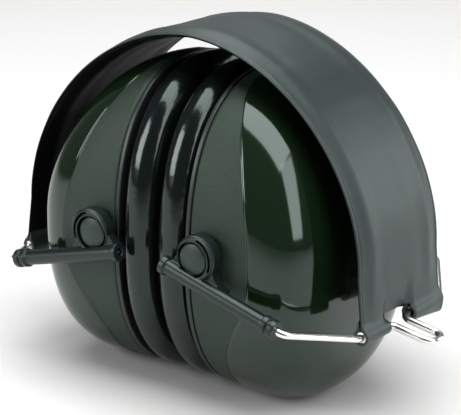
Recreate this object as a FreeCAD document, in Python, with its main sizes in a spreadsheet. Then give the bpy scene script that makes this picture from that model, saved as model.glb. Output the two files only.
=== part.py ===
import FreeCAD, Part
import math
import os
import Sketcher

V = FreeCAD.Vector
doc = FreeCAD.newDocument("Earmuffs")

# All sizes in millimetres. Heights are counted from the middle of the ear cups,
# and "lift" is the height of that middle above the floor.
SIZES = [
    ("lift", 49.3, "middle of the cups above the floor"),
    ("cupHalfWidth", 37.3, "half width of the cup's rim, front to back"),
    ("cupHalfHeight", 49.0, "half height of the cup's rim"),
    ("cupPower", 2.38, "squareness of the cup's oval"),
    ("cupBase", 14.0, "rim plane of a cup from the middle plane"),
    ("cupDepth", 37.1, "rim to outermost face"),
    ("cupWall", 2.3, "wall of the cup"),
    ("sidePower", 4.3, "how late the front and back faces turn in"),
    ("topPower", 2.1, "how late the top turns in"),
    ("bottomPower", 3.8, "how late the bottom turns in"),
    ("faceDrop", 3.0, "how far the outer face sits below the rim's middle"),
    ("plateThick", 1.6, "cushion plate"),
    ("plateLip", 0.9, "cushion plate past the cup's rim"),
    ("earHalfWidth", 19.5, "half width of the ear opening"),
    ("earHalfHeight", 30.0, "half height of the ear opening"),
    ("cushionFace", 0.45, "cushion face from the middle plane"),
    ("cushionBulge", 1.2, "cushion past the cup's rim"),
    ("cushionLift", 1.3, "lowest part of the cushion drawn in, clear of the floor"),
    ("cushionSkin", 0.8, "cushion cover"),
    ("pivotOut", 18.8, "cup pivot from the middle plane"),
    ("pivotUp", 0.1, "cup pivot above the cups' middle"),
    ("eyeFace", 38.4, "inner face of the arm's eye from the middle"),
    ("eyeRadius", 6.7, "arm eye"),
    ("eyeShift", 0.8, "arm eye's middle from the pivot, outwards and upwards"),
    ("eyeThick", 3.6, "arm eye"),
    ("eyeRim", 0.7, "raised rim round the eye"),
    ("buttonRadius", 4.7, "pivot button head"),
    ("buttonShaft", 3.0, "pivot button shaft"),
    ("buttonFit", 0.06, "radial play of the pivot button"),
    ("recessDepth", 1.5, "recess for the button's head"),
    ("recessGap", 0.55, "gap round the button's head"),
    ("slotInner", 5.9, "crescent slot beside the button, inner edge"),
    ("slotOuter", 6.6, "crescent slot beside the button, outer edge"),
    ("tubeDrop", 6.3, "tube axis below the pivot"),
    ("tubeOut", 32.2, "tube from the pivot towards the headband"),
    ("tubeIn", 9.4, "tube from the pivot towards the other cup"),
    ("tubeRadius", 2.3, "arm tube"),
    ("tubeSpread", 41.9, "tube axis from the middle, front to back"),
    ("collarRadius", 2.85, "ribs at the outer end of the tube"),
    ("tilt", 15.0, "slope of the folded arms, degrees"),
    ("wireRadius", 1.1, "stirrup wire"),
    ("wireFit", 0.06, "radial play of the wire in the tube and ferrules"),
    ("wireBend", 3.2, "bend radius of the stirrup wire"),
    ("wireSlack", 3.0, "wire end short of the tube's inner end"),
    ("hingeOut", 63.2, "stirrup hinge from the middle plane"),
    ("hingeDown", 18.9, "stirrup hinge below the cups' middle"),
    ("crankReach", 14.8, "stop loop from the hinge"),
    ("crankHalf", 3.6, "half width of the stop loop between wire centres"),
    ("crankShift", 2.9, "stop loop in front of the middle"),
    ("crankTilt", 9.5, "slope of the stop loop, degrees"),
    ("bandHalfWidth", 21.5, "half width of the headband"),
    ("bandReach", 63.0, "outside of the headband from the middle plane"),
    ("bandRise", 62.3, "outside of the crown above the band's centre"),
    ("bandCentre", 2.0, "band's centre below the cups' middle"),
    ("bandPower", 1.88, "roundness of the headband's arch"),
    ("bandOuter", 1.5, "padding outside the headband's middle sheet"),
    ("bandInner", 1.8, "padding inside the headband's middle sheet"),
    ("bandThin", 0.95, "each side of the middle sheet below the padding"),
    ("bandFoot", 63.4, "foot of the middle sheet from the middle plane"),
    ("bandSkin", 0.75, "headband cover"),
    ("padEnd", 5.0, "end of the padding below the cups' middle"),
    ("thinStart", 14.0, "start of the thin end below the cups' middle"),
    ("hemRadius", 2.5, "hem round the stirrup hinge"),
    ("flapDrop", 4.3, "corner of the end flap below the hinge"),
    ("ferruleWall", 0.45, "steel ferrule in the hem"),
    ("notchHeight", 2.6, "notch for the stop loop above the hinge"),
    ("notchFront", 8.7, "notch in front of the middle"),
    ("notchRear", 4.8, "notch behind the middle"),
    ("dentDepth", 1.85, "dent above the notch, where the stop loop leans when unfolded"),
    ("dentHalf", 5.0, "half width of the dent's floor"),
    ("springRadius", 0.72, "spring wire in the headband"),
    ("springSpread", 15.2, "spring wire from the middle, front to back"),
]

sheet = doc.addObject("Spreadsheet::Sheet", "Sizes")
for row, (alias, value, note) in enumerate(SIZES, start=1):
    sheet.set(f"A{row}", alias)
    sheet.set(f"B{row}", str(value))
    sheet.set(f"C{row}", note)
    sheet.setAlias(f"B{row}", alias)
doc.recompute()


def size(alias):
    return float(sheet.get(alias))


NODES = []


def side_placement(turn):
    """The right-hand side as drawn, or the same piece turned round for the left."""
    return FreeCAD.Placement(V(0, 0, size("lift")), FreeCAD.Rotation(V(0, 0, 1), turn))


def keep(label, shape, turn=0):
    """A free-form piece, drawn in code from the sheet's sizes."""
    node = doc.addObject("Part::Feature", label)
    node.Label = label
    node.Shape = shape
    node.Placement = side_placement(turn)
    NODES.append(node)


# ---- free-form helpers -------------------------------------------------------

def closed_curve(points):
    curve = Part.BSplineCurve()
    curve.interpolate(Points=points, PeriodicFlag=True)
    return Part.Wire(curve.toShape())


def oval(x, half_width, up, down, middle=0.0, points=56):
    """A superellipse in the plane at x, with its own heights above and below."""
    power = size("cupPower")
    found = []
    for k in range(points):
        angle = 2 * math.pi * k / points
        c, s = math.cos(angle), math.sin(angle)
        tall = up if s >= 0 else down
        r = (abs(c / half_width) ** power + abs(s / tall) ** power) ** (-1 / power)
        found.append(V(x, r * c, middle + r * s))
    return closed_curve(found)


def falloff(s, power):
    return max(0.0, 1 - s ** power) ** (1 / power)


def loft(wires):
    return Part.makeLoft(wires, True, False)


def cup_form(inset, start, stop):
    """The cup's body, shrunk by inset, from start to stop along its depth."""
    base = size("cupBase")
    depth = size("cupDepth") - inset
    width = size("cupHalfWidth") - inset
    height = size("cupHalfHeight") - inset
    wires = []
    for k in range(15):
        s = start + (stop - start) * math.sin(math.pi / 2 * k / 14)
        wires.append(oval(
            base + depth * s,
            width * falloff(max(s, 0), size("sidePower")),
            height * falloff(max(s, 0), size("topPower")),
            height * falloff(max(s, 0), size("bottomPower")),
            -size("faceDrop") * s))
    return loft(wires)


def rounded_path(corners, radius):
    """A wire through the corners, with each bend rounded to the radius."""
    edges = []
    at = corners[0]
    for before, corner, after in zip(corners, corners[1:], corners[2:]):
        back = (before - corner).normalize()
        on = (after - corner).normalize()
        half = back.getAngle(on) / 2
        reach = radius / math.tan(half)
        first = corner + back * reach
        last = corner + on * reach
        bisector = (back + on).normalize()
        middle = corner + bisector * (radius / math.sin(half) - radius)
        if (first - at).Length > 1e-6:
            edges.append(Part.makeLine(at, first))
        edges.append(Part.Arc(first, middle, last).toShape())
        at = last
    edges.append(Part.makeLine(at, corners[-1]))
    return Part.Wire(edges)


def sweep(path, profile):
    pipe = path.makePipeShell([profile], True, False)
    return pipe


def round_rod(path, start, direction, radius):
    profile = Part.Wire(Part.makeCircle(radius, start, direction))
    return sweep(path, profile)


# ---- ear cups ----------------------------------------------------------------

def pivot_cylinder(radius, near, far):
    """A cylinder on the cup's pivot axis, between two distances from the middle."""
    both = []
    for hand in (-1, 1):
        both.append(Part.makeCylinder(
            radius, far - near, V(size("pivotOut"), hand * near, size("pivotUp")), V(0, hand, 0)))
    return both


def cup_shell():
    outer = cup_form(0, 0, 0.985)
    inner = cup_form(size("cupWall"), -0.05, 0.985)
    floor = Part.makeBox(80, 120, 20, V(0, -60, -size("lift") - 20))
    shell = outer.cut(inner).cut(floor)
    for hole in pivot_cylinder(size("buttonShaft") + 0.02, 20, 60):
        shell = shell.cut(hole)
    return shell


def cup_liner():
    wall = size("cupWall")
    whole = cup_form(wall + 0.3, 0.05, 0.975)
    hollow = cup_form(wall + 7, -0.1, 0.6)
    mouth = Part.makeBox(9, 120, 120, V(size("cupBase") - 1, -60, -60))
    liner = whole.cut(mouth).cut(hollow)
    for room in pivot_cylinder(5.2, 28, 60):
        liner = liner.cut(room)
    return liner


def ring(x_low, x_high, grow, skin=0.0):
    """A straight oval ring, from outside the rim to the ear opening."""
    def block(width, height):
        return loft([oval(x, width, height, height) for x in (x_low, x_high)])
    outer = block(size("cupHalfWidth") + grow - skin, size("cupHalfHeight") + grow - skin)
    inner = block(size("earHalfWidth") + skin, size("earHalfHeight") + skin)
    return outer.cut(inner)


def cushion_form(skin):
    """The cushion's bulging ring, shrunk by skin."""
    low = size("cushionFace") + skin
    high = size("cupBase") - size("plateThick") - 0.1 - skin
    outer = []
    inner = []
    for k in range(9):
        turn = math.pi * k / 8
        x = (low + high) / 2 - (high - low) / 2 * math.cos(turn)
        round_off = 6.0 * (1 - max(0.0, math.sin(turn)) ** 0.5)
        grow = size("cushionBulge") - skin - round_off
        tall = size("cupHalfHeight") + grow
        outer.append(oval(x, size("cupHalfWidth") + grow, tall, tall - size("cushionLift")))
        hole = skin + round_off * 0.8
        ear = size("earHalfHeight") + hole
        inner.append(oval(x, size("earHalfWidth") + hole, ear, ear))
    return loft(outer).cut(loft(inner))


def ear_cup(side, turn):
    keep(f"cup_shell_{side}", cup_shell(), turn)
    keep(f"cup_liner_{side}", cup_liner(), turn)
    plate = ring(size("cupBase") - size("plateThick"), size("cupBase"), 0)
    floor = Part.makeBox(80, 120, 20, V(0, -60, -size("lift") - 20))
    keep(f"cushion_plate_{side}", plate.cut(floor), turn)
    core = cushion_form(size("cushionSkin"))
    keep(f"cushion_cover_{side}", cushion_form(0).cut(core), turn)
    keep(f"cushion_foam_{side}", core, turn)


# ---- drawn features ----------------------------------------------------------

def origin_plane(body, role):
    return next(f for f in body.Origin.OriginFeatures if f.Role == role)


def new_body(label):
    body = doc.addObject("PartDesign::Body", label)
    body.Label = label
    NODES.append(body)
    return body


def new_sketch(body, name, role, offset=None):
    sketch = body.newObject("Sketcher::SketchObject", name)
    sketch.AttachmentSupport = [(origin_plane(body, role), "")]
    sketch.MapMode = "FlatFace"
    if offset:
        sketch.setExpression("AttachmentOffset.Base.z", offset)
    return sketch


def bind(sketch, index, name, expression):
    sketch.renameConstraint(index, name)
    sketch.setExpression("Constraints." + name, expression)


def add_circle(sketch, name, x, y, radius, centre=None):
    """A circle with its radius, and its centre's two distances, bound to the sheet."""
    g = sketch.addGeometry(Part.Circle(V(x, y, 0), V(0, 0, 1), 1.0), False)
    bind(sketch, sketch.addConstraint(Sketcher.Constraint("Radius", g, 1.0)), name, radius)
    if centre is None:
        sketch.addConstraint(Sketcher.Constraint("Coincident", g, 3, -1, 1))
        return
    for kind, expression in zip(("DistanceX", "DistanceY"), centre):
        value = x if kind == "DistanceX" else y
        k = sketch.addConstraint(Sketcher.Constraint(kind, -1, 1, g, 3, value))
        bind(sketch, k, name + kind[-1], expression)


def add_crescent(sketch, inner, outer, middle, spread):
    """A slot along a circle, centred at an angle and reaching spread degrees to each side."""
    def at(radius, angle):
        turn = math.radians(angle)
        return V(radius * math.cos(turn), radius * math.sin(turn), 0)
    low, high = middle - spread, middle + spread
    sketch.addGeometry(Part.Arc(at(inner, low), at(inner, middle), at(inner, high)), False)
    sketch.addGeometry(Part.LineSegment(at(inner, high), at(outer, high)), False)
    sketch.addGeometry(Part.Arc(at(outer, high), at(outer, middle), at(outer, low)), False)
    sketch.addGeometry(Part.LineSegment(at(outer, low), at(inner, low)), False)


def pad(body, sketch, name, length):
    feature = body.newObject("PartDesign::Pad", name)
    feature.Profile = sketch
    feature.setExpression("Length", length)
    return feature


def pocket(body, sketch, name, length=None):
    feature = body.newObject("PartDesign::Pocket", name)
    feature.Profile = sketch
    if length:
        feature.setExpression("Length", length)
        return feature
    feature.Type = "ThroughAll"
    feature.Midplane = True
    return feature


def arm(label, hand, placement):
    """One arm: an eye round the pivot button and a tube for the stirrup wire.

    Drawn with the eye's axis on Z, away from the cup, and the tube along X.
    hand is -1 if the tube lies on the -Y side and 1 if it lies on the +Y side.
    """
    body = new_body(label)
    drop = f"{hand} * Sizes.tubeDrop"
    rise = "Sizes.tubeSpread - Sizes.eyeFace"

    shift = size("eyeShift")
    middle = ("Sizes.eyeShift", f"{-hand} * Sizes.eyeShift")
    eye = new_sketch(body, label + "_eye", "XY_Plane")
    add_circle(eye, "outside", shift, -hand * shift, "Sizes.eyeRadius", middle)
    pad(body, eye, label + "_eye_pad", "Sizes.eyeThick")

    rim = new_sketch(body, label + "_rim", "XY_Plane")
    add_circle(rim, "outside", shift, -hand * shift, "Sizes.eyeRadius - 0.5", middle)
    pad(body, rim, label + "_rim_pad", "Sizes.eyeThick + Sizes.eyeRim")

    web = new_sketch(body, label + "_web", "XY_Plane")
    corners = [V(12.6, 4.4, 0), V(12.6, 6.3, 0), V(-7.5, 6.3, 0), V(-7.5, 4.4, 0),
               V(-5.0, 0.0, 0), V(7.0, 0.0, 0)]
    corners = [V(c.x, hand * c.y, 0) for c in corners]
    for a, b in zip(corners, corners[1:]):
        web.addGeometry(Part.LineSegment(a, b), False)
    web.addGeometry(Part.Arc(corners[-1], V(8.7, hand * 3.1, 0), corners[0]), False)
    pad(body, web, label + "_web_pad", "Sizes.eyeThick - 0.4")

    tube = new_sketch(body, label + "_tube", "YZ_Plane", "-Sizes.tubeIn")
    add_circle(tube, "outside", hand * size("tubeDrop"), 3.0, "Sizes.tubeRadius", (drop, rise))
    pad(body, tube, label + "_tube_pad", "Sizes.tubeIn + Sizes.tubeOut")

    for k, start in enumerate(("Sizes.tubeOut - 1.8", "Sizes.tubeOut - 4.4", "-Sizes.tubeIn")):
        rib = new_sketch(body, f"{label}_rib{k}", "YZ_Plane", start)
        add_circle(rib, "outside", hand * size("tubeDrop"), 3.0,
                   "Sizes.collarRadius", (drop, rise))
        pad(body, rib, f"{label}_rib{k}_pad", "1.8")

    bore = new_sketch(body, label + "_bore", "YZ_Plane")
    add_circle(bore, "inside", hand * size("tubeDrop"), 3.0,
               "Sizes.wireRadius + Sizes.wireFit", (drop, rise))
    pocket(body, bore, label + "_bore_cut")

    hole = new_sketch(body, label + "_hole", "XY_Plane")
    add_circle(hole, "inside", 0, 0, "Sizes.buttonShaft + Sizes.buttonFit")
    pocket(body, hole, label + "_hole_cut")

    top = "Sizes.eyeThick + Sizes.eyeRim"
    slot = new_sketch(body, label + "_slot", "XY_Plane", top)
    add_crescent(slot, size("slotInner"), size("slotOuter"), -hand * 40, 50)
    pocket(body, slot, label + "_slot_cut", "Sizes.recessDepth + Sizes.eyeRim")

    recess = new_sketch(body, label + "_recess", "XY_Plane", top)
    add_circle(recess, "inside", 0, 0, "Sizes.buttonRadius + Sizes.recessGap")
    last = pocket(body, recess, label + "_recess_cut", "Sizes.recessDepth + Sizes.eyeRim")
    body.Tip = last
    body.Placement = placement


def button(label, placement):
    """A pivot button: domed head, shaft through the arm's eye, and a flange inside."""
    body = new_body(label)
    head = size("eyeThick") - size("recessDepth") + 0.05
    flange = -(size("eyeFace") - size("cupHalfWidth")) - size("cupWall") - 0.1
    shaft = size("buttonShaft")
    wide = size("buttonRadius")
    outline = [
        V(0, flange - 1.2, 0), V(shaft + 1.4, flange - 1.2, 0), V(shaft + 1.4, flange, 0),
        V(shaft, flange, 0), V(shaft, head, 0), V(wide, head, 0), V(wide, head + 1.5, 0)]
    sketch = new_sketch(body, label + "_half", "XZ_Plane")
    for a, b in zip(outline, outline[1:]):
        sketch.addGeometry(Part.LineSegment(a, b), False)
    dome = 0.7
    ball = (wide ** 2 + dome ** 2) / (2 * dome)
    centre = head + 1.5 + dome - ball
    between = V(wide / 2, centre + math.sqrt(ball ** 2 - wide ** 2 / 4), 0)
    crown = V(0, centre + ball, 0)
    sketch.addGeometry(Part.Arc(outline[-1], between, crown), False)
    sketch.addGeometry(Part.LineSegment(crown, outline[0]), False)
    turned = body.newObject("PartDesign::Revolution", label + "_turned")
    turned.Profile = sketch
    turned.ReferenceAxis = (sketch, ["V_Axis"])
    turned.Angle = 360
    body.Tip = turned
    body.Placement = placement


def frame_at(origin, x_axis, z_axis):
    y_axis = z_axis.cross(x_axis)
    rotation = FreeCAD.Rotation(x_axis, y_axis, z_axis, "ZXY")
    return FreeCAD.Placement(origin, rotation)


def slope(alias="tilt"):
    angle = math.radians(size(alias))
    return V(math.cos(angle), 0, -math.sin(angle))


def arms_and_buttons(side, turn):
    for name, hand in (("front", -1), ("rear", 1)):
        at = V(size("pivotOut"), hand * size("eyeFace"), size("pivotUp"))
        local = frame_at(at, slope(), V(0, hand, 0))
        whole = side_placement(turn).multiply(local)
        label = name if turn == 0 else ("rear" if name == "front" else "front")
        arm(f"arm_{label}_{side}", hand, whole)
        button(f"pivot_button_{label}_{side}", whole)


# ---- stirrup wires -----------------------------------------------------------

def stirrup():
    along = slope()
    foot = V(size("pivotOut"), 0, size("pivotUp")) - V(-along.z, 0, along.x) * size("tubeDrop")
    hinge = V(size("hingeOut"), 0, -size("hingeDown"))
    spread = V(0, size("tubeSpread"), 0)
    crank = slope("crankTilt") * size("crankReach")
    half = size("crankHalf")
    shift = size("crankShift")
    inner = foot - along * (size("tubeIn") - size("wireSlack"))
    outer = foot + along * (size("tubeOut") + 2.5)
    edge = V(0, size("bandHalfWidth") + 0.8, 0)
    near = V(0, -shift - half, 0)
    away = V(0, -shift + half, 0)
    corners = [
        inner - spread, outer - spread, hinge - edge, hinge + near, hinge + near + crank,
        hinge + away + crank, hinge + away, hinge + edge, outer + spread, inner + spread]
    path = rounded_path(corners, size("wireBend"))
    return round_rod(path, corners[0], along, size("wireRadius"))


# ---- headband ----------------------------------------------------------------

def band_middle(angle):
    """A point of the arch's middle sheet: 0 at the right-hand side, pi/2 at the crown."""
    power = 2 / size("bandPower")
    reach = size("bandReach") - size("bandOuter")
    rise = size("bandRise") - size("bandOuter")
    c, s = math.cos(angle), math.sin(angle)
    x = math.copysign(reach * abs(c) ** power, c)
    return V(x, 0, rise * abs(s) ** power - size("bandCentre"))


def band_leg(height):
    """A point of the straight leg below the arch, at a height counted from the cups' middle."""
    reach = size("bandReach") - size("bandOuter")
    share = (height + size("bandCentre")) / (size("bandCentre") - size("hingeDown"))
    return V(reach + (size("bandFoot") - reach) * share, 0, height)


def leg_direction():
    """Up along the right leg of the middle sheet."""
    return (band_leg(-size("bandCentre")) - band_leg(-size("hingeDown"))).normalize()


def band_curve(foot):
    """The middle sheet's line, from the right foot over the crown to the left foot."""
    middle = (foot + size("bandCentre")) / 2
    right = [band_leg(-foot), band_leg(-middle)]
    arch = [band_middle(math.pi * k / 24) for k in range(25)]
    left = [V(-p.x, 0, p.z) for p in reversed(right)]
    up = leg_direction()
    curve = Part.BSplineCurve()
    curve.interpolate(
        Points=right + arch + left, InitialTangent=up, FinalTangent=V(up.x, 0, -up.z))
    return curve


def smooth(t):
    t = min(1.0, max(0.0, t))
    return t * t * (3 - 2 * t)


def padding(y, full, ridge):
    """The cover's height over the middle sheet at y: flat seam, ridge, valley, middle."""
    seam = smooth((size("bandHalfWidth") - 0.8 - abs(y)) / 6.5)
    valley = math.exp(-((abs(y) - 10.5) / 3.0) ** 2)
    crest = math.exp(-((abs(y) - size("springSpread")) / 2.4) ** 2)
    shape = seam * (1 - 0.25 * valley + ridge * crest)
    thin = size("bandThin")
    return 0.45 + (thin - 0.45) * seam + (full - thin) * shape


def fullness(z):
    """1 where the band is padded, 0 along its thin ends."""
    return smooth((z + size("thinStart")) / (size("thinStart") - size("padEnd")))


def dent(y, z):
    """How far the thin end is pressed in above the notch, where the stop loop leans."""
    above = z + size("hingeDown")
    fade = 1 - smooth((above - 9) / (size("hingeDown") - size("padEnd") - 9))
    beside = 1 - smooth((abs(y + size("crankShift")) - size("dentHalf")) / 4)
    return size("dentDepth") * math.exp((size("notchHeight") - above) / 4.6) * fade * beside


def band_section(at, along, upper, lower, half):
    """A closed section across the band between two height functions."""
    out = V(0, 1, 0).cross(along).normalize()
    count = 24
    ys = [half * (2 * k / count - 1) for k in range(count + 1)]
    top = [at + V(0, y, 0) + out * upper(y) for y in ys]
    low = [at + V(0, y, 0) + out * lower(y) for y in ys]
    above = Part.BSplineCurve()
    above.interpolate(top)
    below = Part.BSplineCurve()
    below.interpolate(low)
    return Part.Wire([
        above.toShape(), Part.makeLine(top[-1], low[-1]), below.toShape(),
        Part.makeLine(low[0], top[0])])


def band_arch(half, upper, lower):
    """A layer of the padded part. upper and lower take a place across the band and a height."""
    curve = band_curve(size("padEnd"))
    top = -size("padEnd")
    section = band_section(
        curve.StartPoint, leg_direction(), lambda y: upper(y, top), lambda y: lower(y, top), half)
    return sweep(Part.Wire(curve.toShape()), section)


def band_layer(foot, half, upper, lower):
    """A layer of the whole band: the arch and its two thin ends."""
    layer = band_arch(half, upper, lower)
    count = 8
    sections = []
    for k in range(count):
        at = band_leg(-size("padEnd") - (foot - size("padEnd")) * k / (count - 1))
        sections.append(band_section(
            at, leg_direction(), lambda y: upper(y, at.z), lambda y: lower(y, at.z), half))
    leg = loft(sections)
    for turn in (0, 180):
        layer = layer.fuse(leg.rotated(V(0, 0, 0), V(0, 0, 1), turn))
    return layer


def hinge_cylinder(radius, low, high, turn):
    base = V(size("hingeOut"), low, -size("hingeDown"))
    rod = Part.makeCylinder(radius, high - low, base, V(0, 1, 0))
    rod.rotate(V(0, 0, 0), V(0, 0, 1), turn)
    return rod


def hem_spans():
    """Where the hems lie along the hinge, front and rear of the stop loop."""
    edge = size("bandHalfWidth")
    return (-edge, -size("notchFront")), (size("notchRear"), edge)


def notch(turn):
    (_, near), (away, _) = hem_spans()
    low = V(size("hingeOut") - 6, near, -size("hingeDown") - 6)
    box = Part.makeBox(14, away - near, 6 + size("notchHeight"), low)
    box.rotate(V(0, 0, 0), V(0, 0, 1), turn)
    return box


def end_flap(turn):
    """The cover's loose corner, hanging below the hem."""
    (_, _), (away, edge) = hem_spans()
    hinge = -size("hingeDown")
    x = size("hingeOut") - 0.5
    corners = [V(x, away, hinge), V(x, edge, hinge), V(x, edge, hinge - size("flapDrop")),
               V(x, away, hinge - size("hemRadius") + 0.2)]
    flap = Part.Face(Part.makePolygon(corners + corners[:1])).extrude(V(1.2, 0, 0))
    flap.rotate(V(0, 0, 0), V(0, 0, 1), turn)
    return flap


def headband():
    skin = size("bandSkin")
    half = size("bandHalfWidth")
    foot = size("hingeDown") - 1.9
    ferrule = size("wireRadius") + size("wireFit") + size("ferruleWall")
    thin = size("bandThin")

    def outside(y, z):
        full = thin + (size("bandOuter") - thin) * fullness(z)
        return padding(y, full, 0.3) - dent(y, z)

    def inside(y, z):
        full = thin + (size("bandInner") - thin) * fullness(z)
        return -padding(y, full, 0.0) - dent(y, z)

    def flat(y, z):
        return -dent(y, z)

    def under(y, z):
        return outside(y, z) - skin

    def over(y, z):
        return inside(y, z) + skin

    cover = band_layer(foot, half, outside, flat)
    lining = band_layer(foot, half, flat, inside)
    filling = band_arch(half - 5.2, under, over)
    cover = cover.cut(filling)
    lining = lining.cut(filling)

    springs = []
    curve = band_curve(foot)
    for name, y in (("front", -size("springSpread")), ("rear", size("springSpread"))):
        path = Part.Wire(curve.toShape())
        path.translate(V(0, y, 0))
        start = curve.StartPoint + V(0, y, 0)
        rod = round_rod(path, start, leg_direction(), size("springRadius"))
        springs.append((name, rod))
        cover, lining, filling = (layer.cut(rod) for layer in (cover, lining, filling))

    for turn in (0, 180):
        hem = hinge_cylinder(size("hemRadius"), -40, 40, turn)
        lining = lining.cut(hem).cut(notch(turn))
        for low, high in hem_spans():
            cover = cover.fuse(hinge_cylinder(size("hemRadius"), low, high, turn))
        cover = cover.fuse(end_flap(turn))
        cover = cover.cut(hinge_cylinder(ferrule, -40, 40, turn)).cut(notch(turn))

    keep("headband_cover", cover)
    keep("headband_lining", lining)
    keep("headband_padding", filling)
    for name, rod in springs:
        for turn in (0, 180):
            rod = rod.cut(hinge_cylinder(size("hemRadius"), -40, 40, turn))
        keep(f"headband_spring_{name}", rod)


def ferrules(side, turn):
    for name, (low, high) in zip(("front", "rear"), hem_spans()):
        label = name if turn == 0 else ("rear" if name == "front" else "front")
        body = new_body(f"hinge_ferrule_{label}_{side}")
        sketch = new_sketch(body, f"ferrule_{label}_{side}", "XY_Plane")
        add_circle(sketch, "outside", 0, 0, "Sizes.wireRadius + Sizes.wireFit + Sizes.ferruleWall")
        add_circle(sketch, "inside", 0, 0, "Sizes.wireRadius + Sizes.wireFit")
        tube = pad(body, sketch, f"ferrule_{label}_{side}_pad", f"{high - low - 2.6}")
        body.Tip = tube
        at = V(size("hingeOut"), low + (0.5 if low < 0 else 2.1), -size("hingeDown"))
        local = frame_at(at, V(1, 0, 0), V(0, 1, 0))
        body.Placement = side_placement(turn).multiply(local)


headband()
for side, turn in (("right", 0), ("left", 180)):
    ear_cup(side, turn)
    keep(f"stirrup_wire_{side}", stirrup(), turn)
    arms_and_buttons(side, turn)
    ferrules(side, turn)
doc.recompute()

for thing in doc.Objects:
    if "Invalid" in thing.State or "Error" in thing.State:
        raise RuntimeError(f"{thing.Label}: {thing.State}")
os.makedirs("parts", exist_ok=True)
for node in NODES:
    shape = node.Shape
    if shape.isNull() or not shape.isValid():
        raise RuntimeError(f"{node.Label} is not a valid shape")
    shape.exportStep(f"parts/{node.Label}.step")
    print(node.Label, shape.ShapeType, len(shape.Solids), round(shape.Volume, 1))
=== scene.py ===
import math

import bmesh
import bpy
import numpy as np
from mathutils import Matrix, Vector, noise


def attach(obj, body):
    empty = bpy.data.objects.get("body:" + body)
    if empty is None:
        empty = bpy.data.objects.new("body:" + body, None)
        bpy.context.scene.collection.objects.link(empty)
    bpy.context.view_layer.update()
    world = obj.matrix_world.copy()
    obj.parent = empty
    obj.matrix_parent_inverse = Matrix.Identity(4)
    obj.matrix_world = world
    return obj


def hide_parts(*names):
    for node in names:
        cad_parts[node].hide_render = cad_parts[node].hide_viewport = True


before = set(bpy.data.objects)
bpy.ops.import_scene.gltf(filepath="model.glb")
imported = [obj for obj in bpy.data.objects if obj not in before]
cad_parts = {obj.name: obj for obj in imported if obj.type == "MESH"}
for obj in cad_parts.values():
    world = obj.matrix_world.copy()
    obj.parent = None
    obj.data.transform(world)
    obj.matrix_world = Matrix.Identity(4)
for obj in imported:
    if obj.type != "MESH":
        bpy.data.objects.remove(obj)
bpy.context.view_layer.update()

# Sizes in millimetres, heights counted from the middle of the ear cups.
MM = 0.001
LIFT = 49.3
CUP_W, CUP_H, CUP_POWER = 37.3, 49.0, 2.38
CUP_BASE, CUP_DEPTH = 14.0, 37.1
SIDE_P, TOP_P, BOTTOM_P, FACE_DROP = 4.3, 2.1, 3.8, 3.0
EAR_W, EAR_H = 19.5, 30.0
PIVOT = np.array([18.8, 0.0, 0.1])
EYE_FACE = 38.4
HINGE = np.array([63.2, 0.0, -18.9])
TILT, CRANK_TILT = math.radians(15.0), math.radians(9.5)
ALONG = np.array([math.cos(TILT), 0.0, -math.sin(TILT)])
CRANK_ALONG = np.array([math.cos(CRANK_TILT), 0.0, -math.sin(CRANK_TILT)])
WIRE_R, WIRE_BEND = 1.1, 3.2
TUBE_DROP, TUBE_OUT, TUBE_IN, TUBE_SPREAD = 6.3, 32.2, 9.4, 41.9
CRANK_REACH, CRANK_HALF, CRANK_SHIFT = 14.8, 3.6, 2.9
BAND_HALF, BAND_REACH, BAND_RISE, BAND_CENTRE, BAND_POWER = 21.5, 61.5, 60.8, 2.0, 1.88
BAND_OUTER, BAND_INNER, BAND_THIN, BAND_FOOT = 1.5, 1.8, 0.95, 63.4
PAD_END, THIN_START, SPRING_SPREAD = 5.0, 14.0, 15.2
HEM_R, HEM_BORE = 2.5, 1.62
HEM_NEAR, HEM_AWAY = -8.7, 4.8
DENT_DEPTH, DENT_HALF, NOTCH_HEIGHT = 1.85, 5.0, 2.6


# ---- materials ----------------------------------------------------------------

def node_material(name, base, rough, **extra):
    """A Principled material, and its node tree's parts for adding detail."""
    m = bpy.data.materials.new(name)
    m.use_nodes = True
    tree = m.node_tree
    shader = tree.nodes["Principled BSDF"]
    shader.inputs["Base Color"].default_value = (*base, 1)
    shader.inputs["Roughness"].default_value = rough
    for key, value in extra.items():
        shader.inputs[key.replace("_", " ")].default_value = value
    shader.inputs["Specular Tint"].default_value = (0.82, 1.0, 0.95, 1)
    return m, tree, shader


def add(tree, kind, **values):
    """A node with its properties and its inputs' constants set by name."""
    node = tree.nodes.new(kind)
    for key, value in values.items():
        if hasattr(node, key):
            setattr(node, key, value)
        else:
            node.inputs[key.replace("_", " ")].default_value = value
    return node


def coords(tree, kind="Object", scale=(1, 1, 1)):
    source = add(tree, "ShaderNodeTexCoord")
    mapping = add(tree, "ShaderNodeMapping")
    mapping.inputs["Scale"].default_value = scale
    tree.links.new(source.outputs[kind], mapping.inputs["Vector"])
    return mapping.outputs["Vector"]


def noise_bump(tree, shader, vector, scale, distance, detail=3.0, strength=1.0):
    """Fine relief from a noise texture, in metres of height."""
    grain = add(tree, "ShaderNodeTexNoise", Scale=scale, Detail=detail)
    tree.links.new(vector, grain.inputs["Vector"])
    bump = add(tree, "ShaderNodeBump", Strength=strength, Distance=distance)
    tree.links.new(grain.outputs["Fac"], bump.inputs["Height"])
    tree.links.new(bump.outputs["Normal"], shader.inputs["Normal"])
    return bump


def remap(tree, value, low_in, high_in, low_out, high_out):
    """A value carried from one range to another."""
    node = add(tree, "ShaderNodeMapRange")
    for key, v in (("From Min", low_in), ("From Max", high_in),
                   ("To Min", low_out), ("To Max", high_out)):
        node.inputs[key].default_value = v
    tree.links.new(value, node.inputs["Value"])
    return node.outputs["Result"]


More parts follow.
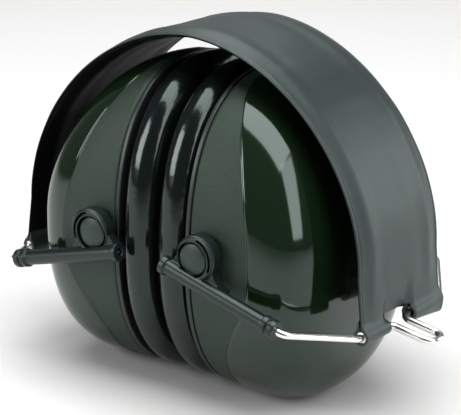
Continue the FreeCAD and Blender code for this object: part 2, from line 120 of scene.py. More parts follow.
def cup_gloss():
    m, tree, shader = node_material("cup_polished", (0.004, 0.011, 0.004), 0.10,
                                    Specular_IOR_Level=0.55, Coat_Weight=0.1, Coat_Roughness=0.05)
    noise_bump(tree, shader, coords(tree), 60, 0.00006, 2.0)
    return m


def cup_matte():
    m, tree, shader = node_material("cup_grained", (0.012, 0.022, 0.013), 0.42,
                                    Specular_IOR_Level=0.42)
    vector = coords(tree)
    noise_bump(tree, shader, vector, 3800, 0.00016, 2.0, 0.9)
    fleck = add(tree, "ShaderNodeTexVoronoi", Scale=1700)
    tree.links.new(vector, fleck.inputs["Vector"])
    rough = remap(tree, fleck.outputs["Distance"], 0.05, 0.35, 0.25, 0.46)
    tree.links.new(rough, shader.inputs["Roughness"])
    return m


def vinyl(name, base, rough, crease, shine=0.5):
    m, tree, shader = node_material(name, base, rough, Specular_IOR_Level=shine)
    noise_bump(tree, shader, coords(tree), 240, crease, 3.0)
    return m


def leathercloth():
    m, tree, shader = node_material("band_leathercloth", (0.016, 0.023, 0.023), 0.42,
                                    Specular_IOR_Level=0.52)
    # across the band (v) the fine creases run, along it (u) they follow one another
    streak = coords(tree, "UV", (1.0, 0.09, 1.0))
    bump = noise_bump(tree, shader, streak, 900, 0.00005, 2.0, 0.6)
    grain = add(tree, "ShaderNodeTexVoronoi", Scale=2200)
    tree.links.new(coords(tree), grain.inputs["Vector"])
    pores = add(tree, "ShaderNodeBump", Strength=0.35, Distance=0.00005)
    tree.links.new(grain.outputs["Distance"], pores.inputs["Height"])
    tree.links.new(bump.outputs["Normal"], pores.inputs["Normal"])
    tree.links.new(pores.outputs["Normal"], shader.inputs["Normal"])
    return m


def foam():
    m, tree, shader = node_material("foam", (0.02, 0.02, 0.021), 0.9)
    pores = add(tree, "ShaderNodeTexVoronoi", Scale=1100)
    tree.links.new(coords(tree), pores.inputs["Vector"])
    bump = add(tree, "ShaderNodeBump", Strength=0.8, Distance=0.0004)
    tree.links.new(pores.outputs["Distance"], bump.inputs["Height"])
    tree.links.new(bump.outputs["Normal"], shader.inputs["Normal"])
    return m


def steel(name, rough):
    m, tree, shader = node_material(name, (0.9, 0.89, 0.86), rough, Metallic=1.0)
    shader.inputs["Specular Tint"].default_value = (1, 1, 1, 1)
    noise_bump(tree, shader, coords(tree), 900, 0.00001, 2.0)
    return m


def black_plastic(name, base, rough):
    m, tree, shader = node_material(name, base, rough, Specular_IOR_Level=0.5)
    noise_bump(tree, shader, coords(tree), 1500, 0.00003, 2.0, 0.5)
    return m


GLOSS, MATTE = cup_gloss(), cup_matte()
CUSHION = vinyl("cushion_vinyl", (0.003, 0.0045, 0.0045), 0.15, 0.0001)
LINING = vinyl("band_lining", (0.003, 0.0035, 0.0035), 0.5, 0.0001, 0.03)
COVER = leathercloth()
FOAM = foam()
WIRE = steel("polished_wire", 0.2)
SPRING = steel("spring_steel", 0.3)
ARM = black_plastic("arm_plastic", (0.004, 0.007, 0.007), 0.33)
PLATE = black_plastic("plate_plastic", (0.010, 0.010, 0.011), 0.4)
BUTTON = black_plastic("button_plastic", (0.014, 0.022, 0.017), 0.4)


# ---- meshes -------------------------------------------------------------------

def place(points, side):
    """Millimetres from the cups' middle to metres in the row frame; the left side is turned."""
    p = np.array(points, float).reshape(-1, 3)
    if side == "left":
        p = p * np.array([-1.0, -1.0, 1.0])
    return (p + np.array([0.0, 0.0, LIFT])) * MM


def new_piece(name, points, faces, materials, body, replaces=(), side="right",
              picks=None, uv=None):
    """A smooth piece from points in millimetres; picks choose a material for each face."""
    mesh = bpy.data.meshes.new(name)
    mesh.from_pydata(place(points, side).tolist(), [], [list(map(int, f)) for f in faces])
    for m in materials:
        mesh.materials.append(m)
    if picks is not None:
        mesh.polygons.foreach_set("material_index", np.array(picks, np.int32))
    if uv is not None:
        layer = mesh.uv_layers.new(name="UVMap")
        loops = np.zeros(len(mesh.loops), np.int32)
        mesh.loops.foreach_get("vertex_index", loops)
        layer.data.foreach_set("uv", (np.array(uv)[loops] * MM).astype(np.float32).ravel())
    mesh.polygons.foreach_set("use_smooth", np.ones(len(mesh.polygons), bool))
    mesh.validate()
    mesh.update()
    o = bpy.data.objects.new(name, mesh)
    bpy.context.scene.collection.objects.link(o)
    finish_piece(o, body, replaces)
    return o


def finish_piece(o, body, replaces):
    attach(o, body)
    if replaces:
        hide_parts(*replaces)


def grid_faces(rows, columns, close_rows=False, close_columns=False, start=0):
    """Four-sided faces between neighbouring rows of points."""
    faces = []
    for i in range(rows if close_rows else rows - 1):
        for j in range(columns if close_columns else columns - 1):
            a, b = i, (i + 1) % rows
            c, d = j, (j + 1) % columns
            faces.append((start + a * columns + c, start + a * columns + d,
                          start + b * columns + d, start + b * columns + c))
    return faces


def tangents(path):
    """The unit direction of a path at each of its points."""
    step = np.gradient(path, axis=0)
    return step / np.linalg.norm(step, axis=1)[:, None]


def tube(path, radius, around=24):
    """A round rod along a path, with rounded ends. Returns points and faces."""
    path = np.array(path, float)
    tangent = tangents(path)
    side = np.zeros_like(path)
    start = np.cross(tangent[0], [0.3, 0.2, 1.0])
    side[0] = start / np.linalg.norm(start)
    for i in range(1, len(path)):
        v = side[i - 1] - tangent[i] * (side[i - 1] @ tangent[i])
        side[i] = v / np.linalg.norm(v)
    other = np.cross(tangent, side)
    rings = []
    caps = [(0.0, 0.0), (0.35, 0.06), (0.7, 0.29), (0.92, 0.6)]
    for share, back in caps:
        rings.append((path[0] - tangent[0] * radius * 0.6 * (1 - back), 0, share))
    for i in range(len(path)):
        rings.append((path[i], i, 1.0))
    for share, back in reversed(caps):
        rings.append((path[-1] + tangent[-1] * radius * 0.6 * (1 - back), -1, share))
    turn = np.linspace(0, 2 * np.pi, around, endpoint=False)
    points = []
    for centre, i, share in rings:
        r = radius * max(share, 0.02)
        points.append(centre + r * (np.cos(turn)[:, None] * side[i]
                                    + np.sin(turn)[:, None] * other[i]))
    return np.vstack(points), grid_faces(len(rings), around, close_columns=True)


def rounded_path(corners, radius, step=0.35):
    """Points along straight lines with each bend rounded."""
    corners = [np.array(c, float) for c in corners]
    out = [corners[0]]
    for before, corner, after in zip(corners, corners[1:], corners[2:]):
        back = (before - corner) / np.linalg.norm(before - corner)
        on = (after - corner) / np.linalg.norm(after - corner)
        half = math.acos(np.clip(back @ on, -1, 1)) / 2
        reach = radius / math.tan(half)
        middle = corner + (back + on) / np.linalg.norm(back + on) * radius / math.sin(half)
        first, last = corner + back * reach - middle, corner + on * reach - middle
        sweep = math.pi - 2 * half
        count = max(4, int(radius * sweep / step))
        for k in range(count + 1):
            t = k / count
            w = (np.sin((1 - t) * sweep) * first + np.sin(t * sweep) * last) / np.sin(sweep)
            out.append(middle + w)
    out.append(corners[-1])
    dense = [out[0]]
    for a, b in zip(out, out[1:]):
        count = max(1, int(np.linalg.norm(b - a) / 1.2))
        dense += [a + (b - a) * k / count for k in range(1, count + 1)]
    return np.array(dense)


def smoothstep(t):
    t = np.clip(t, 0, 1)
    return t * t * (3 - 2 * t)


def oval_radius(angle, half_width, up, down):
    """The radius of a superelliptic oval, with its own heights above and below the middle."""
    c, s = np.cos(angle), np.sin(angle)
    tall = np.where(s >= 0, up, down)
    return (np.abs(c / half_width) ** CUP_POWER + np.abs(s / tall) ** CUP_POWER) ** (-1 / CUP_POWER)


def falloff(s, power):
    """How the cup narrows, from 1 at its rim to 0 at its face."""
    return np.maximum(1e-9, 1 - np.clip(s, 0, 1) ** power) ** (1 / power)


def cup_point(s, angle, inset=0.0):
    """A point of the cup's outside, at a share s of its depth and an angle round it."""
    width = (CUP_W - inset) * falloff(s, SIDE_P)
    up = (CUP_H - inset) * falloff(s, TOP_P)
    down = (CUP_H - inset) * falloff(s, BOTTOM_P)
    r = oval_radius(angle, width, up, down)
    x = CUP_BASE + (CUP_DEPTH - inset) * s
    z = r * np.sin(angle) - FACE_DROP * s
    return np.stack([x + 0 * angle, r * np.cos(angle), np.maximum(z, -LIFT + 0.02)], -1)


def gloss_edge(z):
    """How far out from the middle plane the polished part of the cup begins, at a height."""
    above = np.clip(z + 6.0, 0, None)
    below = np.clip(-6.0 - z, 0, 33.0)
    return 34.4 - 16.0 * (above / 52.0) ** 2 - 11.8 * (1 - np.cos(np.pi * below / 33.0)) / 2


def build_cup(side):
    """The shell: its grained part, the raised parting line and its polished part, in rows."""
    count = 240
    angle = np.linspace(0, 2 * np.pi, count, endpoint=False)
    start, stop = np.zeros(count), np.ones(count) * 0.98
    for _ in range(40):
        mid = (start + stop) / 2
        p = cup_point(mid, angle)
        beyond = p[:, 0] > gloss_edge(p[:, 2])
        stop = np.where(beyond, mid, stop)
        start = np.where(beyond, start, mid)
    edge = (start + stop) / 2
    rows, kinds = [], []

    def row(s, grow, kind):
        p = cup_point(s, angle, -grow)
        p[:, 0] -= grow * np.clip(s, 0, 1)
        rows.append(p)
        kinds.append(kind)

    for x, inset in ((24.0, 2.5), (18.0, 2.4), (15.0, 2.3), (14.2, 2.1), (14.0, 1.7)):
        p = cup_point(np.zeros(count), angle, inset)
        p[:, 0] = x
        rows.append(p)
        kinds.append(0)
    for s, grow in ((0.0, -0.75), (0.004, -0.3), (0.014, -0.08), (0.03, 0.0)):
        row(np.full(count, s), grow, 0)
    for k in range(1, 34):
        row(0.03 + (edge - 0.03) * k / 34, 0.0, 0)
    span = 0.35 / CUP_DEPTH
    row(edge - span, 0.0, 0)
    row(edge - span * 0.2, -0.02, 1)
    row(edge + span * 0.3, 0.11, 1)
    row(edge + span * 1.0, 0.20, 1)
    row(edge + span * 2.0, 0.22, 1)
    for k in range(1, 90):
        t = k / 90
        share = 1 - (1 - t) ** 2.2
        s = edge + span * 2 + (0.99999 - edge - span * 2) * share
        row(s, 0.22 * (1 - 0.5 * t), 1)
    points = np.vstack(rows)
    faces = grid_faces(len(rows), count, close_columns=True)
    picks = np.repeat([max(a, b) if b else 0 for a, b in zip(kinds, kinds[1:])], count)
    pole = len(points)
    points = np.vstack([points, [[CUP_BASE + CUP_DEPTH, 0, -FACE_DROP]]])
    last = (len(rows) - 1) * count
    faces += [(last + j, last + (j + 1) % count, pole) for j in range(count)]
    picks = np.concatenate([picks, np.ones(count)])
    new_piece(f"cup_{side}", points, faces, [MATTE, GLOSS], f"cup_{side}",
              [f"cup_shell_{side}"], side, picks)


def ring_piece(name, side, x_low, x_high, grow, hole, power_x, power_r, material, replaces,
               relief=None):
    """An oval ring with a superelliptic section, between the ear opening and the rim."""
    count, around = 260, 72
    angle = np.linspace(0, 2 * np.pi, count, endpoint=False)
    outer = oval_radius(angle, CUP_W + grow, CUP_H + grow, CUP_H)
    inner = oval_radius(angle, EAR_W + hole, EAR_H + hole, EAR_H + hole)
    rows = []
    for k in range(around):
        t = 2 * math.pi * k / around
        c, s = math.cos(t), math.sin(t)
        across = math.copysign(abs(c) ** (2 / power_r), c)
        x = (x_low + x_high) / 2 + (x_high - x_low) / 2 * math.copysign(abs(s) ** (2 / power_x), s)
        r = inner + (outer - inner) * (0.5 + 0.5 * across)
        p = np.stack([np.full(count, x), r * np.cos(angle), r * np.sin(angle)], -1)
        if relief:
            p = relief(p, across, x, angle)
        rows.append(p)
    points = np.vstack(rows)
    points[:, 2] = np.maximum(points[:, 2], -LIFT + 0.25)
    faces = grid_faces(around, count, close_rows=True, close_columns=True)
    return new_piece(name, points, faces, [material], f"cup_{side}", replaces, side)


def cushion_relief(p, across, x, angle):
    """Soft unevenness of stretched vinyl, and small puckers where it is drawn to its plate."""
    near_plate = smoothstep((x - 9.5) / 2.5) * smoothstep((across - 0.2) / 0.6)
    pucker = 0.10 * near_plate * np.sin(angle * 71 + 2 * np.sin(angle * 5))
    soft = np.array([noise.noise(Vector((q[0] * 0.10, q[1] * 0.05, q[2] * 0.05))) for q in p])
    radial = np.stack([np.zeros(len(p)), np.cos(angle), np.sin(angle)], -1)
    return p + radial * (pucker + 0.25 * soft * max(across, 0))[:, None]


def build_cushion(side):
    """The padded ring, and the plate that it is drawn to."""
    o = ring_piece(f"cushion_{side}", side, 0.45, 12.35, 1.2, 0.0, 2.3, 2.7, CUSHION,
                   [f"cushion_cover_{side}", f"cushion_foam_{side}"],
                   cushion_relief)
    ring_piece(f"plate_{side}", side, 12.3, 13.95, 0.05, 0.6, 8, 12, PLATE,
               [f"cushion_plate_{side}"])


def arm_frame(hand):
    """Origin and axes (along the tube, across, away from the cup) of an arm."""
    away = np.array([0.0, hand, 0.0])
    return PIVOT + away * EYE_FACE, ALONG, np.cross(away, ALONG), away


def build_button(side, name, hand):
    """A pivot button turned from a domed profile of radii and heights."""
    profile = [(3.0, -3.0), (3.0, 2.0), (3.0, 2.25), (4.5, 2.25), (4.64, 2.32), (4.69, 2.6),
               (4.69, 3.3), (4.64, 3.52), (4.47, 3.68), (4.2, 3.78), (3.2, 4.02), (2.2, 4.2),
               (1.1, 4.31), (0.01, 4.35)]
    origin, a, b, c = arm_frame(hand)
    turn = np.linspace(0, 2 * np.pi, 72, endpoint=False)
    rows = [origin + c * h + r * (np.cos(turn)[:, None] * a + np.sin(turn)[:, None] * b)
            for r, h in profile]
    new_piece(f"button_{name}_{side}", np.vstack(rows),
              grid_faces(len(rows), 72, close_columns=True), [BUTTON], f"cup_{side}",
              [f"pivot_button_{name}_{side}"], side)


def build_arm(side, name):
    """The CAD arm with its edges softened as a moulding's are."""
    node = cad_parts[f"arm_{name}_{side}"]
    o = bpy.data.objects.new(f"arm_{name}_{side}_skin", node.data.copy())
    bpy.context.scene.collection.objects.link(o)
    remesh = o.modifiers.new("remesh", "REMESH")
    remesh.mode = "VOXEL"
    remesh.voxel_size = 0.16 * MM
    smooth = o.modifiers.new("smooth", "SMOOTH")
    smooth.factor, smooth.iterations = 0.5, 6
    bpy.context.view_layer.update()
    made = bpy.data.meshes.new_from_object(o.evaluated_get(bpy.context.evaluated_depsgraph_get()))
    o.modifiers.clear()
    o.data = made
    made.polygons.foreach_set("use_smooth", np.ones(len(made.polygons), bool))
    made.materials.clear()
    made.materials.append(ARM)
    finish_piece(o, f"arms_{side}", [f"arm_{name}_{side}"])


def build_wire(side):
    """The stirrup: legs in the arms' tubes, an axle in the hems and the stop loop."""
    foot = PIVOT - np.array([-ALONG[2], 0, ALONG[0]]) * TUBE_DROP
    spread = np.array([0, TUBE_SPREAD, 0])
    inner = foot - ALONG * (TUBE_IN - 3.0)
    outer = foot + ALONG * (TUBE_OUT + 2.5)
    edge = np.array([0, BAND_HALF + 0.8, 0])
    near = np.array([0, -CRANK_SHIFT - CRANK_HALF, 0])
    away = np.array([0, -CRANK_SHIFT + CRANK_HALF, 0])
    reach = CRANK_ALONG * CRANK_REACH
    path = rounded_path([
        inner - spread, outer - spread, HINGE - edge, HINGE + near, HINGE + near + reach,
        HINGE + away + reach, HINGE + away, HINGE + edge, outer + spread, inner + spread],
        WIRE_BEND)
    points, faces = tube(path, WIRE_R)
    new_piece(f"stirrup_{side}_wire", points, faces, [WIRE], f"stirrup_{side}",
              [f"stirrup_wire_{side}"], side)


# ---- headband -----------------------------------------------------------------

def band_leg(height):
    """The middle sheet's place in its straight leg, at a height below the arch."""
    share = (height + BAND_CENTRE) / (BAND_CENTRE + HINGE[2])
    return np.array([BAND_REACH + (BAND_FOOT - BAND_REACH) * share, 0, height])


def band_line(foot, step=0.55):
    """Evenly spaced points of the middle sheet, right foot to left foot, with outward normals."""
    right = [band_leg(z) for z in np.linspace(-foot, -BAND_CENTRE, 24)[:-1]]
    angle = np.linspace(0, np.pi, 721)
    power = 2 / BAND_POWER
    c, s = np.cos(angle), np.sin(angle)
    arch = np.stack([BAND_REACH * np.sign(c) * np.abs(c) ** power, 0 * c,
                     BAND_RISE * np.abs(s) ** power - BAND_CENTRE], -1)
    left = [p * np.array([-1, 1, 1]) for p in right[::-1]]
    raw = np.vstack([right, arch, left])
    length = np.concatenate([[0], np.cumsum(np.linalg.norm(np.diff(raw, axis=0), axis=1))])
    count = int(length[-1] / step) + 1
    u = np.linspace(0, length[-1], count)
    line = np.stack([np.interp(u, length, raw[:, k]) for k in range(3)], -1)
    along = tangents(line)
    kernel = np.hanning(13)
    for k in (0, 2):
        padded = np.pad(along[:, k], 6, mode="edge")
        along[:, k] = np.convolve(padded, kernel / kernel.sum(), mode="valid")
    along /= np.linalg.norm(along, axis=1)[:, None]
    out = np.stack([along[:, 2], 0 * u, -along[:, 0]], -1)
    return line, out, u - u[-1] / 2


def fullness(z):
    """1 where the band is padded, 0 along its thin ends."""
    return smoothstep((z + THIN_START) / (THIN_START - PAD_END))


def padding(y, full, ridge):
    """Height over the middle sheet: flat seam, ridge over the spring wire, valley, middle."""
    seam = smoothstep((BAND_HALF - 0.8 - np.abs(y)) / 6.5)
    valley = np.exp(-((np.abs(y) - 10.5) / 3.0) ** 2)
    crest = np.exp(-((np.abs(y) - SPRING_SPREAD) / 2.4) ** 2)
    shape = seam * (1 - 0.25 * valley + ridge * crest)
    return 0.45 + (BAND_THIN - 0.45) * seam + (full - BAND_THIN) * shape


def dent(y, z):
    """How far the thin end is pressed in above the notch."""
    above = z - HINGE[2]
    fade = 1 - smoothstep((above - 9) / (-HINGE[2] - PAD_END - 9))
    beside = 1 - smoothstep((np.abs(y + CRANK_SHIFT) - DENT_HALF) / 4)
    return DENT_DEPTH * np.exp((NOTCH_HEIGHT - above) / 4.6) * fade * beside


def band_relief(u, y, seed, amount):
    """Soft unevenness of the padded cover and slight waves beside its welded seams."""
    soft = noise.noise(Vector((u * 0.055 + seed, y * 0.09, seed)))
    fine = noise.noise(Vector((u * 0.20 + seed, y * 0.07, 3 + seed)))
    seam = math.exp(-((abs(y) - 18.6) / 1.6) ** 2)
    pucker = noise.noise(Vector((u * 0.45, math.copysign(5, y), seed)))
    return amount * (0.42 * soft + 0.10 * fine + 0.05 * seam * pucker)


def seam_columns(count):
    """Places across the band, closer at its edges and exact at the notch's sides."""
    inner = np.linspace(-BAND_HALF + 1.9, BAND_HALF - 1.9, count)
    for at in (HEM_NEAR, HEM_AWAY):
        inner[np.argmin(np.abs(inner - at))] = at
    edge = BAND_HALF - np.array([0.02, 0.12, 0.3, 0.6, 0.85, 0.95, 1.05, 1.15, 1.3, 1.6])
    return np.concatenate([-edge, inner, edge[::-1]])


def dented(profile, y):
    """A profile of the band's end, pressed in with the sheet above the notch."""
    p = np.array(profile, float)
    hold = smoothstep((p[:, 1] - HINGE[2] - 1.2) / 1.4)
    p[:, 0] -= dent(y, np.maximum(p[:, 1], HINGE[2] + NOTCH_HEIGHT)) * hold
    return p


def hem_profile(y):
    """The hem's outline below the sheet's outer face, in the plane across the hinge."""
    hx, hz = HINGE[0], HINGE[2]
    drop = flap_drop(y)
    fixed = [(63.91, -14.6), (63.97, -15.3), (64.12, -15.95), (64.36, -16.45), (64.62, -16.8)]
    ring = []
    for degrees in np.linspace(46, -222, 28):
        t = math.radians(degrees)
        z = HEM_R * math.sin(t)
        fall = drop * smoothstep(np.array(-z / HEM_R)).item()
        flat = 0.5 * max(0.0, math.cos(t)) * smoothstep(np.array((y - 12) / 8)).item()
        ring.append((hx + (HEM_R - flat) * math.cos(t), hz + z - fall))
    rise = [(61.75, -16.6), (61.9, -15.8), (61.95, -15.1), (61.97, -14.4), (62.08, -14.1),
            (62.3, -14.0)]
    return dented(fixed + ring + rise, y)


def notch_profile(y):
    """The turned edge of the sheet above the stop loop."""
    return dented([(63.91, -14.6), (63.94, -15.1), (63.95, -15.5), (63.9, -15.9), (63.72, -16.17),
                   (63.4, -16.28), (62.9, -16.26), (62.46, -16.1), (62.22, -15.75),
                   (62.1, -15.3), (62.05, -14.9), (62.03, -14.4), (62.1, -14.1),
                   (62.3, -14.0)], y)


def resample(profile, count):
    """Evenly spaced points along a profile."""
    p = profile
    length = np.concatenate([[0], np.cumsum(np.linalg.norm(np.diff(p, axis=0), axis=1))])
    t = np.linspace(0, length[-1], count)
    return np.stack([np.interp(t, length, p[:, k]) for k in (0, 1)], -1)


def flap_drop(y):
    """How far the rear hem's loose corner hangs below the hem."""
    return 1.8 * np.clip((y - HEM_AWAY) / (BAND_HALF - HEM_AWAY), 0, 1) ** 1.2


def build_cover():
    """The outer cover with its welded edges, its hems and the notches between them."""
    line, out, u = band_line(14.4)
    ys = seam_columns(104)
    n_rows, n_cols = len(line), len(ys)
    points, uv = [], []
    groove = 0.16 * np.exp(-((np.abs(ys) - 20.45) / 0.16) ** 2)
    lip = np.array([0.30 * max(0.0, 1 - (BAND_HALF - abs(y)) / 0.35) ** 2 for y in ys])
    for i in range(n_rows):
        share = fullness(line[i, 2])
        h = padding(ys, BAND_THIN + (BAND_OUTER - BAND_THIN) * share, 0.12)
        soft = np.array([band_relief(u[i], y, 1.7, 0.25 + 0.55 * share) for y in ys])
        soft *= smoothstep((BAND_HALF - 0.6 - np.abs(ys)) / 1.5)
        turned = ys if line[i, 0] > 0 else -ys
        press = dent(turned, line[i, 2])
        h = h + soft * (1 - smoothstep(press / 0.6)) - groove - lip - press
        edge = 0.16 * noise.noise(Vector((u[i] * 0.12, 0, 9)))
        shift = np.sign(ys) * smoothstep((np.abs(ys) - 19.5) / 2) * edge
        p = line[i] + h[:, None] * out[i] + np.stack([0 * ys, ys + shift, 0 * ys], -1)
        points.append(p)
        uv.append(np.stack([np.full(n_cols, u[i]), ys], -1))
    faces = grid_faces(n_rows, n_cols)
    points, uv = np.vstack(points), np.vstack(uv)

    # underside of the welded edge, so that the cover has a thickness there
    for j, sign in ((0, -1), (n_cols - 1, 1)):
        start = len(points)
        rows = [points[np.arange(n_rows) * n_cols + j]]
        for depth, back in ((0.10, 0.0), (0.0, 0.06), (-0.02, 1.5)):
            y = sign * (BAND_HALF - back) + 0 * u
            rows.append(line + out * depth + np.stack([0 * u, y, 0 * u], -1))
        block = np.stack(rows, 1).reshape(-1, 3)
        points = np.vstack([points, block])
        uv = np.vstack([uv, np.stack([np.repeat(u, 4), np.full(4 * n_rows, sign * BAND_HALF)], -1)])
        faces += grid_faces(n_rows, 4, start=start)

    # the two ends: hems either side of the notch, seen in the right-hand frame and turned
    count = 44
    spans = [(ys <= HEM_NEAR + 1e-6, "hem"), ((ys >= HEM_NEAR - 1e-6) & (ys <= HEM_AWAY + 1e-6), "notch"),
             (ys >= HEM_AWAY - 1e-6, "hem")]
    for turn in (1, -1):
        end = 0 if turn > 0 else n_rows - 1
        base = points[end * n_cols:(end + 1) * n_cols] * np.array([turn, turn, 1])
        order = np.arange(n_cols) if turn > 0 else np.arange(n_cols)[::-1]
        base = base[order]
        for mask, kind in spans:
            js = np.flatnonzero(mask)
            block = []
            for j in js:
                outline = hem_profile(ys[j]) if kind == "hem" else notch_profile(ys[j])
                shape = resample(outline, count)
                k = np.arange(count) / count
                fade = (1 - smoothstep(k / 0.12))[:, None]
                first = np.array([base[j][0], base[j][2]])
                flat = shape + (first - shape[0]) * fade
                wave = np.array([band_relief(q * 18, ys[j], 5.1 + turn, 0.30) for q in k])
                wave *= smoothstep(k / 0.1) * smoothstep((1 - k) / 0.1)
                wave *= 1 - smoothstep(dent(ys[j], HINGE[2] + NOTCH_HEIGHT) / 0.6)
                centre = np.array([HINGE[0], HINGE[2]])
                away = flat - centre
                away /= np.maximum(np.linalg.norm(away, axis=1), 1e-6)[:, None]
                flat = flat + away * wave[:, None] * 0.8
                column = np.stack([flat[:, 0], np.full(count, base[j][1]), flat[:, 1]], -1)
                column[0] = base[j]
                block.append(column)
            rings = [np.array(b) for b in block]
            if kind == "hem":
                rings = mouth(rings[0], -1)[::-1] + rings + mouth(rings[-1], 1)
            block = np.stack(rings, 1).reshape(-1, 3) * np.array([turn, turn, 1])
            start = len(points)
            points = np.vstack([points, block])
            flat_uv = np.stack([100 + np.repeat(np.arange(count), len(rings)) * 0.5, block[:, 1]], -1)
            uv = np.vstack([uv, flat_uv])
            faces += grid_faces(count, len(rings), start=start)
    o = new_piece("band_cover", points, faces, [COVER], "headband", ["headband_cover"],
                  uv=uv)
    weld(o)


def mouth(ring, sign):
    """Rings that turn in from a hem's end to the bore that holds the stirrup wire."""
    centre = np.array([HINGE[0], ring[0][1], HINGE[2]])
    made = []
    bore = []
    for p in ring:
        d = (p - centre) * np.array([1, 0, 1])
        d /= np.linalg.norm(d)
        bore.append(centre + d * HEM_BORE)
    bore = np.array(bore)
    for share, out in ((0.12, 0.10), (0.35, 0.16), (0.7, 0.14), (0.95, 0.02), (1.0, -0.2),
                       (1.0, -5.0)):
        made.append(ring + (bore - ring) * share + np.array([0, sign * out, 0]))
    return made


def weld(o, distance=0.0004):
    """Joins points that meet and turns the faces outwards."""
    bm = bmesh.new()
    bm.from_mesh(o.data)
    bmesh.ops.remove_doubles(bm, verts=bm.verts, dist=distance * MM)
    bmesh.ops.recalc_face_normals(bm, faces=bm.faces)
    bm.to_mesh(o.data)
    bm.free()


def build_lining():
    """The inner lining, from the band's middle sheet inwards."""
    line, out, u = band_line(17.0)
    ys = seam_columns(70)
    tail = np.array([[0, BAND_HALF - 0.06, 0], [0, BAND_HALF - 1.5, 0]])
    head = -tail[::-1]
    rows = []
    for i in range(len(line)):
        share = fullness(line[i, 2])
        h = -padding(ys, BAND_THIN + (BAND_INNER - BAND_THIN) * share, 0.0)
        soft = np.array([band_relief(u[i], y, 8.3, 0.25 + 0.6 * share) for y in ys])
        turned = ys if line[i, 0] > 0 else -ys
        h = h - dent(turned, line[i, 2]) - soft * smoothstep((BAND_HALF - 0.6 - np.abs(ys)) / 1.5)
        h += 0.30 * np.clip(1 - (BAND_HALF - np.abs(ys)) / 0.35, 0, 1) ** 2
        edge = 0.16 * noise.noise(Vector((u[i] * 0.12, 0, 9)))
        shift = np.sign(ys) * smoothstep((np.abs(ys) - 19.5) / 2) * edge
        p = line[i] + h[:, None] * out[i] + np.stack([0 * ys, ys + shift, 0 * ys], -1)
        under = line[i] - 0.01 * out[i]
        rows.append(np.vstack([under + head, p, under + tail]))
    count = rows[0].shape[0]
    new_piece("band_inner", np.vstack(rows), grid_faces(len(rows), count), [LINING], "headband",
              ["headband_lining"])


# ---- assembly -----------------------------------------------------------------

build_cover()
build_lining()
for side in ("right", "left"):
    build_cup(side)
    build_cushion(side)
    build_wire(side)
    for name, hand in (("front", -1), ("rear", 1)):
        label = name if side == "right" else {"front": "rear", "rear": "front"}[name]
        build_button(side, label, hand)
        build_arm(side, label)

for name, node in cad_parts.items():
    if node.hide_render:
        continue
    node.data.materials.clear()
    if "spring" in name or "ferrule" in name:
        node.data.materials.append(SPRING)
    else:
        node.data.materials.append(FOAM)


# ---- floor, light and camera ---------------------------------------------------

# The second floor colour is painted shade, standing in for the unlit studio in front of the object.
FLOOR_PALE, FLOOR_PAINTED_SHADE = (0.62, 0.618, 0.612), (0.24, 0.242, 0.24)
FLOOR_PALE_FROM, FLOOR_PAINTED_SHADE_FROM = -0.16, -0.42
SWEEP_HALF, SWEEP_FRONT, SWEEP_FLAT_END, SWEEP_BEND, SWEEP_TOP = 4.0, -3.0, 1.3, 0.9, 3.5
VIEW_AZIMUTH, VIEW_ELEVATION, VIEW_ROLL = 36.09, 17.42, 1.25
VIEW_DISTANCE, VIEW_RIGHT, VIEW_UP, LENS = 0.5563, 0.93, 1.67, 141.2


def floor_material():
    """Pale paper with painted shade towards the front, where it turns grey to stand in for the unlit
    studio that the polished cups reflect.
    """
    m, tree, shader = node_material("floor", FLOOR_PALE, 0.75)
    place_on_floor = add(tree, "ShaderNodeSeparateXYZ")
    tree.links.new(coords(tree), place_on_floor.inputs["Vector"])
    # Painted shade: the floor darkens towards the front, from pale to grey over this range.
    unshaded_share = remap(tree, place_on_floor.outputs["Y"], FLOOR_PAINTED_SHADE_FROM, FLOOR_PALE_FROM, 0.0, 1.0)
    shade = add(tree, "ShaderNodeMix", data_type="RGBA")
    shade.inputs["A"].default_value = (*FLOOR_PAINTED_SHADE, 1)
    shade.inputs["B"].default_value = (*FLOOR_PALE, 1)
    tree.links.new(unshaded_share, shade.inputs["Factor"])
    tree.links.new(shade.outputs["Result"], shader.inputs["Base Color"])
    return m


def build_stage():
    """A floor that curves up into a wall behind the object."""
    count = 40
    rows = []
    for k in range(count):
        t = k / (count - 1)
        if t < 0.5:
            y, z = SWEEP_FRONT + 2 * (SWEEP_FLAT_END - SWEEP_FRONT) * t, 0.0
        else:
            a = (t - 0.5) * math.pi
            y, z = SWEEP_FLAT_END + SWEEP_BEND * math.sin(a), SWEEP_BEND * (1 - math.cos(a))
        rows.append([(-SWEEP_HALF, y, z), (SWEEP_HALF, y, z)])
    wall = SWEEP_FLAT_END + SWEEP_BEND
    rows.append([(-SWEEP_HALF, wall, SWEEP_TOP), (SWEEP_HALF, wall, SWEEP_TOP)])
    mesh = bpy.data.meshes.new("sweep")
    flat = [p for r in rows for p in r]
    mesh.from_pydata(flat, [], grid_faces(len(rows), 2))
    mesh.polygons.foreach_set("use_smooth", np.ones(len(mesh.polygons), bool))
    mesh.materials.append(floor_material())
    o = bpy.data.objects.new("sweep", mesh)
    o.rotation_euler = (0, 0, math.radians(round(VIEW_AZIMUTH)))
    bpy.context.scene.collection.objects.link(o)


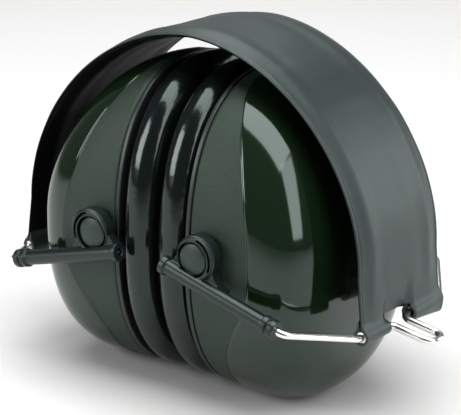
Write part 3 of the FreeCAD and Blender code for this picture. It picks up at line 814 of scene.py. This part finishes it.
def area(name, at, aim, size, power):
    """A soft rectangular lamp, aimed at a point, or straight down where there is none."""
    lamp = bpy.data.lights.new(name, "AREA")
    lamp.shape = "RECTANGLE"
    lamp.size, lamp.size_y = size
    lamp.energy = power
    o = bpy.data.objects.new(name, lamp)
    o.location = at
    if aim:
        o.rotation_euler = (Vector(aim) - Vector(at)).to_track_quat("-Z", "Y").to_euler()
    bpy.context.scene.collection.objects.link(o)


def build_light():
    world = bpy.data.worlds.new("studio")
    world.use_nodes = True
    world.node_tree.nodes["Background"].inputs["Color"].default_value = (0.95, 0.97, 1.0, 1)
    world.node_tree.nodes["Background"].inputs["Strength"].default_value = 0.12
    bpy.context.scene.world = world
    area("top_softbox", (0.15, -0.1, 1.05), None, (1.3, 0.8), 17)
    area("back_softbox", (-0.45, 0.62, 0.95), None, (0.9, 0.9), 5)
    area("right_softbox", (1.0, -0.22, 0.6), (0, 0, 0.06), (0.45, 0.95), 6)
    area("rear_right_softbox", (0.75, 0.95, 0.4), (0, 0, 0.06), (0.9, 0.8), 6)
    area("front_window", (-0.52, -0.74, 0.42), (0, 0, 0.06), (0.4, 0.5), 5)


def build_camera():
    azimuth, elevation, roll = (math.radians(a) for a in (VIEW_AZIMUTH, VIEW_ELEVATION, VIEW_ROLL))
    back = Vector((math.sin(azimuth) * math.cos(elevation),
                   -math.cos(azimuth) * math.cos(elevation), math.sin(elevation)))
    right = Vector((math.cos(azimuth), math.sin(azimuth), 0))
    up = back.cross(right)
    aim = right * VIEW_RIGHT * MM + up * VIEW_UP * MM + Vector((0, 0, LIFT * MM))
    at = back * VIEW_DISTANCE + aim
    right2 = right * math.cos(roll) + up * math.sin(roll)
    up2 = up * math.cos(roll) - right * math.sin(roll)
    data = bpy.data.cameras.new("camera")
    data.sensor_width = 36
    data.lens = LENS
    data.clip_start, data.clip_end = 0.01, 20
    o = bpy.data.objects.new("camera", data)
    o.matrix_world = Matrix((
        (right2.x, up2.x, back.x, at.x), (right2.y, up2.y, back.y, at.y),
        (right2.z, up2.z, back.z, at.z), (0, 0, 0, 1)))
    bpy.context.scene.collection.objects.link(o)
    bpy.context.scene.camera = o


build_stage()
build_light()
build_camera()
bpy.context.scene.view_settings.view_transform = "Standard"
